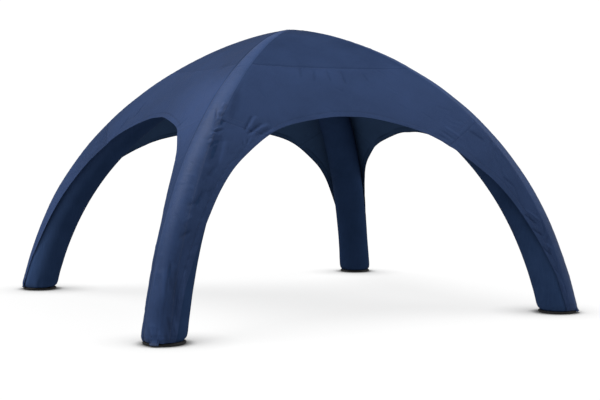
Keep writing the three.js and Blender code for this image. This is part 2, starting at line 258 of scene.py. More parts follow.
# The sleeve tones are darker than the cover's: partly the sleeve's own darker cloth, partly painted
# shade for beams that stand under the cover.
SLEEVE_TONES = [(0.0074, 0.0186, 0.0470), (0.0230, 0.0482, 0.1200), (0.0560, 0.1060, 0.2450)]
cover_cloth = cloth_finish("navy_cover_cloth", COVER_TONES, 0.52, 0.02)
ridge_cloth = cloth_finish("navy_ridge_cloth", RIDGE_TONES, 0.45, 0.16)
cloth_back = cloth_finish("dark_coated_back", BACK_TONES, 0.62, 0.01)
sleeve_cloth = cloth_finish("dark_beam_sleeve", SLEEVE_TONES, 0.60, 0.004, follows_map=False)
print("cloth finishes:", [m.name for m in (cover_cloth, ridge_cloth, cloth_back, sleeve_cloth)])

# %% [markdown]
# Two small finishes are left. The soles are black rubber with a fine grain, greyed by the ground they
# stand on. The sewing thread is a twisted polyester, a shade lighter than the cloth.

# %% Rubber and thread
RUBBER_TONES = [(0.002, 0.002, 0.003), (0.006, 0.006, 0.007), (0.016, 0.016, 0.017)]
THREAD_TONES = [(0.010, 0.020, 0.055), (0.030, 0.052, 0.130), (0.060, 0.090, 0.190)]


def grain_finish(name, tones, roughness, grain, strength, depth):
    material, tree, shader = new_finish(name)
    place = node_in(tree, "ShaderNodeTexCoord").outputs["Object"]
    speck = noise_in(tree, place, grain, 5.0)
    cloud = noise_in(tree, place, grain / 20, 3.0)
    tone = math_node(tree, "MULTIPLY", math_node(tree, "ADD", speck, cloud), 0.5)
    bump = node_in(tree, "ShaderNodeBump", {"Height": speck, "Strength": strength, "Distance": depth})
    set_inputs(tree, shader, {
        "Base Color": tone_ramp(tree, tone, tones), "Normal": bump.outputs["Normal"],
        "Roughness": mapped(tree, cloud, 0.0, 1.0, roughness - 0.1, roughness + 0.1)})
    return material


sole_rubber = grain_finish("black_sole_rubber", RUBBER_TONES, 0.72, 260, 0.35, 0.002)
thread = grain_finish("navy_thread", THREAD_TONES, 0.5, 900, 0.4, 0.0005)
print("small finishes:", sole_rubber.name, thread.name)

# %% [markdown]
# Everything hangs on one curve: a leg's centre line. It is a rounded arch, level at the crown and
# steep at the ground, and the crown stands a hand's width to the right of the middle. A place on it
# is named by one number, 0 at the crown and 1 on the ground.

# %% The arched leg
FOOT_HALF = 2.290
BEAM_RADIUS = 0.208
CROWN_HEIGHT = 2.967
CROWN_LEAN = 0.152
ARCH_P, ARCH_Q, ARCH_CUT = 1.4965, 4.093, 0.94
ARCH_LOW = (1 - ARCH_CUT**ARCH_P) ** (1 / ARCH_Q)
ARCH_SPAN = CROWN_HEIGHT / (1 - ARCH_LOW)
PAST_CROWN, LEG_END = -0.05, 0.030  # the place a leg starts at, and the height at which it ends
LEGS = {"front_left": (-1, -1), "front_right": (1, -1), "back_right": (1, 1), "back_left": (-1, 1)}


def arch_height(t):
    fall = np.abs(ARCH_CUT * t) ** ARCH_P
    return ARCH_SPAN * (np.maximum(1 - fall, 0) ** (1 / ARCH_Q) - ARCH_LOW)


def arch_place(z):
    return (1 - (z / ARCH_SPAN + ARCH_LOW) ** ARCH_Q) ** (1 / ARCH_P) / ARCH_CUT


def arch_point(leg, t):
    sx, sy = LEGS[leg]
    lean = CROWN_LEAN * np.cos(np.pi / 2 * t)
    return np.stack([sx * FOOT_HALF * t + lean, sy * FOOT_HALF * t, arch_height(t)], -1)


FINE = np.linspace(PAST_CROWN, arch_place(LEG_END), 4000)
FINE_STEPS = np.linalg.norm(np.diff(arch_point("front_right", FINE), axis=0), axis=1)
FINE_LENGTH = np.r_[0, np.cumsum(FINE_STEPS)]


def even_places(start, end, count):
    """Places from start to end that are evenly spaced in metres along the leg."""
    first, last = np.interp([start, end], FINE, FINE_LENGTH)
    return np.interp(np.linspace(first, last, count), FINE_LENGTH, FINE)


leg_length = FINE_LENGTH[-1] - np.interp(0, FINE, FINE_LENGTH)
print("one leg measures %.2f m from crown to sole" % leg_length)

# %% [markdown]
# At each place there are three directions: along the leg, sideways to its front or back face, and out
# to its crest. Over the last half metre they turn upright, so that the leg ends flat on its sole. Any
# ring round the leg, of the beam or of the cover, is drawn with them.

# %% Directions on a leg
UPRIGHT_FROM, UPRIGHT_TO = 0.480, 0.110


def smooth(x, start, end):
    s = np.clip((x - start) / (end - start), 0, 1)
    return s * s * (3 - 2 * s)


def unit(v):
    return v / np.linalg.norm(v, axis=-1, keepdims=True)


def dot(a, b):
    return (a * b).sum(-1, keepdims=True)


def arch_frame(leg, t):
    """Point, direction along, direction sideways and direction to the crest at places of a leg."""
    sx, sy = LEGS[leg]
    step = 0.0005
    point = arch_point(leg, t)
    along = unit(arch_point(leg, t + step) - arch_point(leg, t - step))
    upright = smooth(point[..., 2], UPRIGHT_FROM, UPRIGHT_TO)[..., None]
    along = unit(along * (1 - upright) + np.array([0, 0, -1.0]) * upright)
    sway = (1 - upright[..., 0]) * CROWN_LEAN / FOOT_HALF * np.pi / 2 * np.sin(np.pi / 2 * t)
    out = unit(np.stack([sx - sway, sy + 0 * t, 0 * t], -1))
    side = np.stack([-out[..., 1], out[..., 0], 0 * t], -1)
    side = np.where(side[..., 1:2] * sy < 0, -side, side)
    along = unit(along - side * dot(along, side))
    crest = np.cross(along, side)
    crest = np.where(dot(crest, out) + crest[..., 2:] < 0, -crest, crest)
    return point, along, side, crest


def on_beam(frames, angle, radius):
    point, _, side, crest = frames
    angle, radius = np.asarray(angle)[..., None], np.asarray(radius)[..., None]
    return point + radius * (np.cos(angle) * crest + np.sin(angle) * side)


print("directions turn upright below %.2f m" % UPRIGHT_FROM)

# %% [markdown]
# A side of the cover runs from one leg's ridge seam over that leg's shoulder, straight across the
# opening with a slight sag, and over the next leg's shoulder to its ridge seam. So each point has two
# numbers, its place down the arch and its run across: 0 and 2 at the seams, 1 in the middle. The cloth
# leaves a leg where it touches it, which the cross product of the two directions gives. Close to the
# ground the leg's end is tucked in, and the cloth follows it.

# %% The cover's surface
COVER_RADIUS = BEAM_RADIUS + 0.0038
STRIP_SHARE = 0.88
SAG_TOP, SAG_FOOT = 0.055, 0.14
SIDES = {"front": ("x", "front_left", "front_right"), "right": ("y", "front_right", "back_right"),
         "back": ("x", "back_right", "back_left"), "left": ("y", "back_left", "front_left")}
TUCK_HEIGHT = [LEG_END, 0.036, 0.045, 0.058, 0.075, 0.100, 0.170, 0.300, 0.480]
TUCK_SHARE = [0.880, 0.930, 0.968, 1.000, 1.020, 1.034, 1.032, 1.016, 1.0]


def tucked(t):
    return np.interp(arch_height(t), TUCK_HEIGHT, TUCK_SHARE)


def sag_angle(t):
    return SAG_TOP * smooth(t, 0, 0.3) + (SAG_FOOT - SAG_TOP) * smooth(t, 0.7, 1)


def contact(leg, axis, t):
    """Where the cover of one side leaves a leg, and what else is known there."""
    sx, sy = LEGS[leg]
    frames = arch_frame(leg, t)
    _, along, side, crest = frames
    across = np.array([-sx, 0, 0.0]) if axis == "x" else np.array([0, -sy, 0.0])
    normal = unit(np.cross(along, across))
    normal = np.where(dot(normal, crest) < 0, -normal, normal)
    tangent = np.arccos(np.minimum(dot(normal, crest), 1))[..., 0]
    turn = np.sign(dot(normal, side))[..., 0]
    wrap = tangent + sag_angle(t)
    radius = COVER_RADIUS * tucked(t)
    lead = np.sqrt(1 - dot(along, across)[..., 0] ** 2)
    return {"frames": frames, "turn": turn, "normal": normal, "wrap": wrap, "radius": radius,
            "lead": lead, "seam": STRIP_SHARE * tangent, "edge": on_beam(frames, turn * wrap, radius)}


def side_span(side, t):
    axis, first, second = SIDES[side]
    a, b = contact(first, axis, t), contact(second, axis, t)
    return a, b, np.linalg.norm(a["edge"] - b["edge"], axis=-1) / 2


def side_point(side, t, run):
    a, b, half = side_span(side, t)
    early = run <= 1

    def near(key):
        wide = early[..., None] if a[key].ndim > early.ndim else early
        return np.where(wide, a[key], b[key])

    frames = [np.where(early[..., None], x, y) for x, y in zip(a["frames"], b["frames"])]
    arc = near("radius") * (near("wrap") - near("seam"))
    length = np.minimum(run, 2 - run) * (arc + half)
    wrapped = on_beam(frames, near("turn") * (near("seam") + length / near("radius")), near("radius"))
    share = (length - arc) / half
    place = np.where(early, share, 2 - share)
    depth = half * 0.25 * (a["lead"] + b["lead"]) * np.tan(sag_angle(t)) * place * (2 - place)
    free = a["edge"] + (b["edge"] - a["edge"]) * (place / 2)[..., None]
    free = free - unit(a["normal"] + b["normal"]) * depth[..., None]
    return np.where((length <= arc)[..., None], wrapped, free)


def run_of_share(side, which, t, share):
    a, b, half = side_span(side, t)
    near = (a, b)[which]
    arc = near["radius"] * (near["wrap"] - near["seam"])
    run = (arc + share * half) / (arc + half)
    return run if which == 0 else 2 - run


print("cover lies %.1f mm outside the beams" % (1000 * (COVER_RADIUS - BEAM_RADIUS)))

# %% [markdown]
# The hem is the free edge of a side. It is an arch too: high in the middle, falling faster and faster
# towards the legs, and running out on them near the ground. A short table holds it as a share of the
# way from leg to middle, and a smooth curve through its rows draws it. No two sides of a sewn cover
# hang alike, so each has small corrections of its own.

# %% The hem
CROWN_SEAM, SHOULDER_SEAM = 0.415, 0.659
HEM = np.array([  # place down the arch, share of the way from leg to middle
    (0.6201, 1.0), (0.6222, 0.9), (0.6294, 0.8), (0.6402, 0.7), (0.6531, 0.6), (0.6689, 0.5),
    (0.6867, 0.42), (0.71, 0.345), (0.745, 0.257), (0.7845, 0.172), (0.8236, 0.118), (0.8624, 0.082),
    (0.8965, 0.054), (0.9284, 0.032), (0.9552, 0.016), (1.0, 0.0)])
HEM_CORNER = 7
HEM_KNOTS = [0, 4, 7, 10, 13, 15]
HEM_SET = {  # how much lower each half of a side hangs at these rows
    "front": ((0.018, 0.006, -0.012, -0.003, 0.026, 0), (0.018, 0.016, 0.019, 0.035, 0.028, 0)),
    "right": ((0.064, 0.056, 0.030, 0.006, 0, 0), (0.064, 0.058, 0.037, -0.016, -0.060, 0)),
    "back": ((0.050, 0.046, 0.030, 0.018, 0.008, 0), (0.050, 0.045, 0.027, 0.002, 0, 0)),
    "left": ((0.018, 0.018, 0.016, 0.048, 0.038, 0), (0.018, 0.010, -0.016, -0.046, -0.064, 0))}


def hem_rows(side):
    """Rows of a hem: place down the arch and way across, 0 at the first leg and 2 at the second."""
    halves = []
    for values in HEM_SET[side]:
        lower = np.interp(np.arange(len(HEM)), HEM_KNOTS, values)
        for _ in range(5):
            lower[1:-1] = (lower[:-2] + 2 * lower[1:-1] + lower[2:]) / 4
        halves.append(HEM + np.stack([lower, 0 * lower], -1))
    first, second = halves
    return np.concatenate([first[::-1], second[1:] * (1, -1) + (0, 2)])


def curve_through(points, places):
    """Smooth curve through the points, read at places from 0 to their number less one."""
    slope = np.gradient(points, axis=0)
    i = np.clip(places.astype(int), 0, len(points) - 2)
    s = (places - i)[:, None]
    return ((2 * s**3 - 3 * s**2 + 1) * points[i] + (s**3 - 2 * s**2 + s) * slope[i]
            + (3 * s**2 - 2 * s**3) * points[i + 1] + (s**3 - s**2) * slope[i + 1])


def hem_edge(side, rows):
    """Places and runs along a hem at rows of the table, counted from its middle."""
    down, across = curve_through(hem_rows(side), rows + len(HEM) - 1).T
    first = run_of_share(side, 0, down, np.clip(across, 0, 1))
    second = run_of_share(side, 1, down, np.clip(2 - across, 0, 1))
    return np.stack([down, np.where(across <= 1, first, second)], -1)


for side in SIDES:
    middle = side_point(side, *hem_edge(side, np.array([0.0])).T)[0]
    print(side, "opening: %.2f m high in the middle" % middle[2])

# %% [markdown]
# Cloth is never perfectly smooth, and a cover that is pulled over tubes creases in known ways: folds
# that fan out from the shoulders, crumples where the ridge bends, and slanted wrinkles down the legs.
# The main ones are listed in a table, as soft troughs and ridges with a start, an end, a half
# width and a height. The table is in millimetres.

# %% Creases listed one by one
CREASE_ROWS = np.array([  # start, end, half width, height (minus is a trough)
    # near shoulder
    (-1197, -1764, 1951, -1023, -1690, 2048, 12, -13.5),
    (-1179, -1739, 1989, -1052, -1642, 2116, 19, 12),
    (-1223, -1744, 1984, -1101, -1641, 2121, 12, -10),
    (-1150, -1769, 1941, -953, -1694, 2038, 19, 12),
    (-1102, -1776, 1926, -918, -1714, 2008, 14, -5.5),
    (-1045, -1773, 1929, -891, -1730, 1985, 14, 5),
    # near ridge, along
    (-1157, -1429, 2379, -1333, -1668, 2099, 40, -7),
    (-1448, -1561, 2200, -1499, -1670, 2090, 11, -6),
    (-1445, -1599, 2172, -1483, -1666, 2099, 11, 6.5),
    (-1436, -1614, 2163, -1471, -1685, 2081, 11, -6.5),
    (-1543, -1719, 2025, -1490, -1706, 2053, 10, -7),
    (-1650, -1837, 1857, -1598, -1825, 1883, 10, 7),
    (-1650, -1861, 1826, -1602, -1846, 1850, 10, -6),
    (-1616, -1802, 1910, -1554, -1791, 1936, 10, 7.5),
    # near leg, low
    (-2232, -2312, 739, -2314, -2391, 427, 11, -5.5),
    (-2314, -2391, 427, -2372, -2454, 117, 11, -5),
    (-2183, -2381, 592, -2240, -2464, 217, 13, -6),
    (-2105, -2359, 672, -2153, -2419, 421, 13, 5),
    (-2070, -2356, 583, -2114, -2406, 287, 12, -5.5),
    (-2311, -2201, 755, -2383, -2269, 504, 13, 5),
    # near ridge, across
    (-1569, -1767, 1965, -1451, -1742, 2000, 12, -9.7),
    (-1551, -1751, 1988, -1476, -1736, 2010, 11, 11.7),
    (-1480, -1721, 2033, -1416, -1684, 2083, 18, -7.2),
    (-1606, -1780, 1940, -1545, -1773, 1962, 11, 10.4),
    (-1622, -1806, 1904, -1536, -1790, 1936, 13, -5.9),
    (-1638, -1818, 1884, -1599, -1814, 1899, 10, 9.1),
    (-1615, -1840, 1860, -1543, -1820, 1889, 13, -5.2),
    (-1502, -1671, 2088, -1459, -1658, 2113, 11, 7.8),
    (-1535, -1699, 2047, -1486, -1684, 2078, 12, -5.9),
    (-1448, -1620, 2154, -1407, -1599, 2184, 11, 7.2),
    (-1452, -1655, 2118, -1396, -1625, 2159, 11, -7.8),
    (-1392, -1565, 2220, -1345, -1532, 2262, 11, 5.9),
    (-1383, -1594, 2195, -1336, -1561, 2236, 11, -5.9),
    (-1479, -1615, 2146, -1507, -1677, 2080, 8, -5.5),
    (-1430, -1624, 2154, -1459, -1676, 2093, 8, 6),
    (-1445, -1685, 2083, -1462, -1710, 2048, 10, -6.5),
    (-1551, -1741, 1999, -1521, -1732, 2016, 8, -6),
    (-1646, -1811, 1889, -1601, -1806, 1909, 8, -6),
    (-1556, -1799, 1923, -1500, -1782, 1945, 9, 6.5),
    (-1577, -1825, 1882, -1523, -1809, 1906, 9, 6),
    (-1606, -1855, 1835, -1551, -1838, 1860, 9, 5.5),
    # near foot
    (-2388, -2440, 129, -2411, -2459, 57, 9, 6),
    (-2355, -2459, 129, -2369, -2450, 50, 9, -7),
    (-2288, -2473, 154, -2316, -2476, 68, 10, 6.5),
    (-2256, -2478, 143, -2290, -2472, 50, 9, -7),
    (-2218, -2468, 139, -2254, -2467, 46, 9, 6),
    (-2188, -2459, 126, -2230, -2480, 40, 9, -6),
    # near leg, from the shoulder down
    (-1516, -1794, 1928, -1666, -1950, 1676, 44, -12),
    (-1459, -1823, 1879, -1583, -1951, 1666, 28, 8),
    (-1520, -1866, 1811, -1616, -1967, 1637, 12, -5),
    (-1214, -1795, 1904, -1240, -1827, 1854, 9, -5),
    (-1266, -1812, 1879, -1291, -1845, 1829, 9, -5),
    (-1176, -1782, 1921, -1191, -1803, 1889, 9, -4),
    (-1240, -1802, 1894, -1266, -1838, 1839, 9, 4),
    (-1733, -2022, 1543, -1626, -1967, 1637, 20, -6),
    (-1910, -2153, 1265, -1815, -2095, 1394, 20, -5.5),
    (-1988, -2145, 1266, -1871, -2134, 1311, 16, -5),
    (-2060, -2200, 1120, -1946, -2192, 1173, 16, 4),
    (-2112, -2256, 976, -2007, -2243, 1037, 18, -5),
    (-2230, -2302, 760, -2255, -2392, 511, 16, -5.5),
    (-2286, -2294, 688, -2322, -2388, 422, 18, 4.5),
    (-2186, -2344, 706, -2236, -2420, 421, 18, -5),
    # near foot, longer
    (-2377, -2377, 331, -2335, -2471, 65, 15, -5.5),
    (-2305, -2446, 262, -2293, -2488, 83, 14, -5.5),
    (-2249, -2452, 277, -2243, -2484, 97, 14, 4.5),
    (-2190, -2451, 218, -2196, -2463, 72, 13, -5),
    (-2459, -2279, 213, -2447, -2406, 82, 14, -4.5),
    # right leg
    (1890, -2214, 1074, 2005, -2258, 975, 13, -6),
    (1924, -2203, 1116, 2062, -2254, 1006, 13, 5),
    (1945, -2267, 923, 2065, -2304, 846, 13, -5.5),
    (2022, -2327, 740, 2128, -2365, 641, 13, -5.5),
    (2054, -2320, 782, 2163, -2355, 693, 13, 4.5),
    (2112, -2370, 544, 2186, -2416, 447, 13, -5),
    (1730, -2047, 1473, 1827, -2097, 1375, 14, -4.5),
    (2158, -2418, 351, 2211, -2456, 200, 12, -6),
    (2201, -2432, 372, 2256, -2468, 199, 12, 4.5),
    # near shoulder and right shoulder
    (-1284, -1853, 1814, -1195, -1800, 1893, 13, -5),
    (-1254, -1844, 1828, -1156, -1785, 1915, 14, 4),
    (1130, -1732, 1986, 1248, -1796, 1895, 15, -6.5),
    (1189, -1704, 2029, 1347, -1794, 1905, 16, 5.5),
    (1071, -1756, 1943, 1179, -1807, 1874, 14, -5),
    (1474, -1746, 1988, 1617, -1826, 1878, 16, -6),
    # left side
    (-1512, 784, 2160, -1365, 847, 2323, 26, -7.5),
    (-1641, 970, 2006, -1517, 990, 2161, 24, -6),
    (-1640, -900, 2000, -1553, -1032, 2122, 20, -4.5),
    # below the crown seam
    (41, -1116, 2641, 12, -1257, 2515, 16, -5),
    (-120, -1120, 2639, -182, -1251, 2523, 15, -4.5),
    (212, -1122, 2635, 186, -1276, 2497, 16, -5),
    (-282, -1107, 2652, -324, -1220, 2554, 14, -4),
    (466, -1133, 2629, 482, -1249, 2526, 14, -3.5)]) / 1000
CREASES = [(row[:3], row[3:6], row[6], row[7]) for row in CREASE_ROWS]
print("creases placed by hand:", len(CREASES))

# %% [markdown]
# A crease has the section of a soft bell and fades out at both ends. The small unevenness is drawn
# with fixed seeds: uneven waves along a line for puckers, a slow slack over the whole cover, short
# wrinkles scattered over each sheet, and pleats where the cover is drawn in around a foot.

# %% Crease shapes and small wrinkles
WAVE_KNOTS = 4096
SLACK_WAVES, SLACK_HEIGHT = 9, 0.0009
GATHER_HEIGHT, GATHER_FROM, GATHER_FULL = 0.0042, 0.34, 0.06
FOOT_REACH, FOOT_ZONE = 0.4, 0.6


def bell(away, width):
    return np.exp(-((away / width) ** 2))


def crease_height(points, creases):
    height = np.zeros(points.shape[:-1])
    for start, end, width, rise in creases:
        run = end - start
        place = (points - start) @ run / (run @ run)
        foot = start + np.clip(place, 0, 1)[..., None] * run
        away = np.linalg.norm(points - foot, axis=-1)
        taper = smooth(place, -0.25, 0.3) * smooth(place, 1.25, 0.7)
        height += rise * bell(away, width) * taper
    return height


def ripple(x, pitch, seed):
    """Uneven waves from -1 to 1 along a line, about one for each pitch."""
    knots = np.random.default_rng(seed).uniform(-1, 1, WAVE_KNOTS)
    i = np.floor(x / pitch).astype(int)
    s = x / pitch - i
    s = s * s * (3 - 2 * s)
    return knots[i % WAVE_KNOTS] * (1 - s) + knots[(i + 1) % WAVE_KNOTS] * s


def slack(points, seed):
    """Slow unevenness of the whole cover, in metres."""
    rng = np.random.default_rng(seed)
    height = np.zeros(points.shape[:-1])
    for _ in range(SLACK_WAVES):
        wave = unit(rng.normal(size=3)) * 2 * np.pi / rng.uniform(0.35, 0.9)
        height += np.sin(points @ wave + rng.uniform(0, 6.3)) * SLACK_HEIGHT
    return height


def small_creases(grid, count, seed, slant):
    """Short wrinkles scattered over a sheet, most of them slanted the same way to its rows."""
    rng = np.random.default_rng(seed)
    rows, columns = grid.shape[:2]
    found = []
    for _ in range(count):
        i, j = rng.integers(3, rows - 3), rng.integers(2, columns - 2)
        down = unit(grid[i + 2, j] - grid[i - 2, j])
        over = unit(grid[i, j + 1] - grid[i, j - 1])
        angle = slant + rng.normal(0, 0.35)
        reach = (down * math.cos(angle) + over * math.sin(angle)) * rng.uniform(0.08, 0.26) / 2
        width = rng.uniform(0.008, 0.016)
        rise = rng.choice([-1, -1, 1]) * rng.uniform(0.0006, 0.0020)
        found.append((grid[i, j] - reach, grid[i, j] + reach, width, rise))
    return crease_height(grid, found)


def foot_gathers(grid):
    """Pleats where the cover is drawn in around a foot."""
    z = grid[..., 2]
    height = np.zeros(z.shape)
    for k, leg in enumerate(LEGS):
        away = grid - arch_point(leg, arch_place(np.clip(z, 0.02, FOOT_ZONE)))
        near = (np.hypot(away[..., 0], away[..., 1]) < FOOT_REACH) & (z < FOOT_ZONE)
        angle = np.arctan2(away[..., 1], away[..., 0]) + z * 0.6
        x = angle * COVER_RADIUS + 2.0
        wave = ripple(x, 0.026, 50 + k) + 0.6 * ripple(x, 0.06, 60 + k)
        height += near * wave * GATHER_HEIGHT * smooth(z, GATHER_FROM, GATHER_FULL) ** 1.5
    return height


print("slack of the cover: up to %.1f mm" % (1000 * SLACK_WAVES * SLACK_HEIGHT))

# %% [markdown]
# A sewn sheet is a grid of points on the cover's surface. The distances of each point to the four
# edges are measured along the rows and columns. They tell where a seam or a hem lies, they become the
# cloth's flat map in metres, and they give the size of the flat cut that the sheet is sewn from.

# %% Measuring a sheet
LONG_SHEET = 1.6
CUT_TURNS = np.linspace(-0.4, 0.4, 161)


def edge_distances(grid):
    step_over = np.linalg.norm(np.diff(grid, axis=1), axis=-1)
    step_down = np.linalg.norm(np.diff(grid, axis=0), axis=-1)
    left = np.pad(np.cumsum(step_over, axis=1), ((0, 0), (1, 0)))
    top = np.pad(np.cumsum(step_down, axis=0), ((1, 0), (0, 0)))
    return {"left": left, "right": left[:, -1:] - left, "top": top, "bottom": top[-1:] - top}


def along_edge(far, edge):
    return far["top" if edge in ("left", "right") else "left"]


def grid_normals(grid):
    normal = unit(np.cross(np.gradient(grid, axis=0), np.gradient(grid, axis=1)))
    inside = np.array([CROWN_LEAN / 2, 0, 0.5])
    return np.where(dot(normal, grid - inside) < 0, -normal, normal)


def face_area(grid):
    a, b = grid[1:, 1:] - grid[:-1, :-1], grid[1:, :-1] - grid[:-1, 1:]
    return 0.5 * np.linalg.norm(np.cross(a, b), axis=-1).sum()


def cut_size(grid, far):
    """Width and length of the flat cut; a long one is laid out along its left edge and turned."""
    reach, length = far["left"][:, -1], far["top"][-1].max()
    if length < LONG_SHEET * reach.max():
        return reach.max(), length
    lean = dot(unit(np.gradient(grid[:, 0], axis=0)), unit(grid[:, 1] - grid[:, 0]))[:, 0]
    down = far["top"][:, 0]
    flat = np.concatenate([np.stack([0 * down, down], -1),
                           np.stack([reach * np.sqrt(1 - lean**2), down + lean * reach], -1)])
    fits = []
    for angle in CUT_TURNS:
        c, s = math.cos(angle), math.sin(angle)
        fits.append(np.ptp(flat @ np.array([[c, -s], [s, c]]), axis=0))
    return min(fits, key=np.prod)


print("a long cut is tried at", len(CUT_TURNS), "angles")

# %% [markdown]
# A grid becomes cloth by getting a thickness: a thin closed shell with the coated side out and the
# dark side in. Its points carry the three values that the finish reads: how high a fold lies, which the
# finish paints as light on crests and shade in troughs, how dark a seam line is, and how much painted
# light or shade this part of the cloth carries.

# %% Cloth shells
CLOTH = 0.002
FOLD_SHOWN = 0.005
SHARP_DEGREES = 50


def set_values(mesh, key, values):
    data = mesh.attributes.new(key, "FLOAT", "POINT").data
    data.foreach_set("value", np.asarray(values).astype(np.float32).ravel())


def shade_smooth(mesh, sharp_degrees=None):
    mesh.polygons.foreach_set("use_smooth", np.ones(len(mesh.polygons), bool))
    if sharp_degrees:
        mesh.set_sharp_from_angle(angle=math.radians(sharp_degrees))


def shell_object(name, face, normal, far, fold, seam_line, back_line, outer,
                 thickness=CLOTH, shade=0.0):
    rows, columns = face.shape[:2]
    count = rows * columns
    at = np.arange(count).reshape(rows, columns)
    quads = np.stack([at[:-1, :-1], at[1:, :-1], at[1:, 1:], at[:-1, 1:]], -1).reshape(-1, 4)
    mid = rows // 2
    way_down, way_over = face[mid + 1, 0] - face[mid, 0], face[mid, 1] - face[mid, 0]
    if np.cross(way_down, way_over) @ normal[mid, 0] < 0:
        quads = quads[:, ::-1]
    rim = np.r_[at[0, :-1], at[:-1, -1], at[-1, :0:-1], at[:0:-1, 0]]
    after = np.roll(rim, -1)
    walls = np.stack([rim, after, after + count, rim + count], -1)
    edge_way = face.reshape(-1, 3)[after[0]] - face.reshape(-1, 3)[rim[0]]
    wall_out = np.cross(edge_way, -normal.reshape(-1, 3)[rim[0]])
    if wall_out @ (face[0, 0] - face[1, 0]) < 0:
        walls = walls[:, ::-1]
    points = np.concatenate([(face + normal * thickness / 2).reshape(-1, 3),
                             (face - normal * thickness / 2).reshape(-1, 3)])
    faces = np.concatenate([quads, quads[:, ::-1] + count, walls])
    mesh = bpy.data.meshes.new(name)
    mesh.from_pydata(points.tolist(), [], faces.tolist())
    mesh.materials.append(outer)
    mesh.materials.append(cloth_back)
    slots = np.zeros(len(faces), np.int32)
    slots[len(quads):2 * len(quads)] = 1
    mesh.polygons.foreach_set("material_index", slots)
    flat_map = np.tile(np.stack([far["left"], far["top"]], -1).reshape(-1, 2), (2, 1))
    corner = np.empty(len(mesh.loops), np.int32)
    mesh.loops.foreach_get("vertex_index", corner)
    cloth_map = mesh.uv_layers.new(name="cloth")
    cloth_map.data.foreach_set("uv", flat_map[corner].astype(np.float32).ravel())
    shown = np.clip(fold / FOLD_SHOWN, -1, 1)
    set_values(mesh, "fold", [shown, shown])
    set_values(mesh, "seam", [seam_line, back_line])
    set_values(mesh, "shade", [np.broadcast_to(shade, face.shape[:2])] * 2)
    shade_smooth(mesh, SHARP_DEGREES)
    mesh.update()
    return new_object(name, mesh)


print("cloth is", CLOTH * 1000, "mm thick")

# %% [markdown]
# One function sews every sheet: the chosen edges dip and pucker as seams or fold over as hems, the
# creases and the slack move the surface, and the result becomes a shell. A hem is darker seen from
# inside, where two layers of cloth lie on each other.

# %% Sewing a sheet
HEM_WIDTH = 0.066
HEM_LINE = {"side_cloth_left": 0.50}  # its hem line is drawn darker than on the others
PLAIN_HEM_LINE, BACK_LINE, LINE_WIDTH = 0.22, 0.95, 0.007
SEAM_DIP, SEAM_DIP_WIDTH = 0.0042, 0.011
PUCKER_PITCH, PUCKER_START, PUCKER_REACH = 0.020, 0.012, 0.045
HEM_LIFT, HEM_DIP, HEM_RIPPLE = 0.0010, 0.0014, 0.0011
sheets = {}


def sewn_sheet(name, grid, seams, hems, outer, wrinkles, seed, slant=0.6, shade=0.0):
    """Seams: pucker of an edge and darkness of its line. Hems: how much of an edge is hemmed."""
    far, normal = edge_distances(grid), grid_normals(grid)
    fold = crease_height(grid, CREASES) + foot_gathers(grid)
    inner_part = np.ones(fold.shape)
    seam_line, back_line, dip = np.zeros((3, *fold.shape))
    for edge, (pucker, line) in seams.items():
        d, x = far[edge], along_edge(far, edge)
        sewn = 1 - hems.get(edge, 0.0)
        inner_part *= 1 - sewn * (1 - smooth(d, 0.0, 0.05))
        dip -= sewn * SEAM_DIP * (0.25 + 0.75 * line) * bell(d, SEAM_DIP_WIDTH)
        seam_line = np.maximum(seam_line, sewn * line * bell(d, LINE_WIDTH))
        uneven = 0.35 + 0.65 * np.clip(ripple(x, 0.35, seed + 5), 0, 1)
        wave = ripple(x, PUCKER_PITCH, seed + 7) - 0.3
        wave = sewn * pucker * uneven * wave
        fold += wave * smooth(d, 0.0, PUCKER_START) * np.exp(-d / PUCKER_REACH)
    for edge, hemmed in hems.items():
        d, x = far[edge], along_edge(far, edge)
        past_hem = d - HEM_WIDTH
        dip += hemmed * HEM_LIFT * smooth(d, HEM_WIDTH, HEM_WIDTH - 0.012)
        dip -= hemmed * HEM_DIP * bell(past_hem, 0.008)
        sewn_line = hemmed * bell(past_hem, LINE_WIDTH)
        seam_line = np.maximum(seam_line, HEM_LINE.get(name, PLAIN_HEM_LINE) * sewn_line)
        band = 0.35 * smooth(d, HEM_WIDTH, HEM_WIDTH - 0.01) + 0.65 * smooth(d, 0.018, 0.004)
        back_line = np.maximum(back_line, BACK_LINE * np.maximum(sewn_line, hemmed * band))
        fold += hemmed * HEM_RIPPLE * ripple(x, 0.030, seed + 9) * bell(past_hem, 0.03)
    fold += inner_part * small_creases(grid, wrinkles, seed, slant)
    face = grid + normal * (dip + fold + inner_part * slack(grid, seed))[..., None]
    piece = shell_object(name, face, grid_normals(face), far, fold, seam_line,
                         np.maximum(seam_line, back_line), outer, shade=shade)
    sheets[name] = {"piece": piece, "face": face + normal * CLOTH / 2, "far": far,
                    "cut": [face_area(grid), *cut_size(grid, far)]}


print("hems are", HEM_WIDTH * 1000, "mm wide")

# %% [markdown]
# The ridge strips come first. Each lies along the top of one leg between its two ridge seams, starts
# as a point at the crown, widens over the shoulder and runs down to the foot. Its long seams pucker
# a little. The strip of the near leg has more columns, because its crumples are seen closest.

# %% Ridge strips
COVER_FOOT_Z, CROWN_START = 0.036, 0.0012
# FOOT_DARKER paints the ridge strips darker towards the foot, where their painted highlight ends.
RIDGE_ROWS, FOOT_DARKER = 400, 0.72
RIDGES = {  # columns, tone, and how much darker the side of the x seam gets below the shoulder; tone and that darkening are painted light and shade
    "front_left": (41, 0.15, 0.85), "front_right": (23, 0.0, 0.0),
    "back_right": (23, 0.0, 0.3), "back_left": (23, -0.10, 0.3)}
foot_place = float(arch_place(COVER_FOOT_Z))


